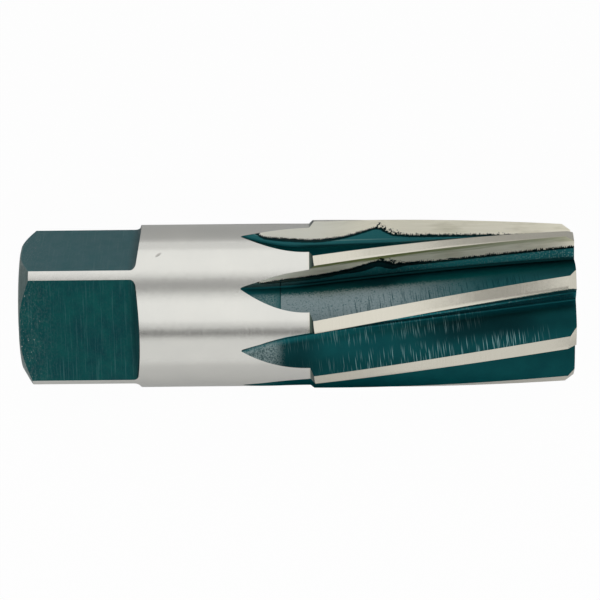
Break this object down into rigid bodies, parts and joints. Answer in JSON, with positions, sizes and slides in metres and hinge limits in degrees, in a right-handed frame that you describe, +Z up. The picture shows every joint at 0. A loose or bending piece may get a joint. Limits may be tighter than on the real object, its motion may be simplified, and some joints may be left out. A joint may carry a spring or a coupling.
{
  "type": "pipe reamer",
  "caption": "Taper pipe reamer with a square drive end, a round shank and a spiral-fluted cutting taper.",
  "frame": {"origin": "middle of the drive end's face, on the tool's axis", "axes": "+X along the tool's axis from the square drive end to the cutting nose, +Z up with the tool lying on two teeth of its big end"},
  "size_m": [0.0966, 0.0292, 0.0292],
  "materials": {
    "tool_steel": "ground bright on the shank, lands and cutting faces, with a dark blue-green oxide coat in the flutes, on the square and on the chamfers"
  },
  "bodies": {
    "root": {"reamer": "tool_steel"}
  },
  "joints": []
}
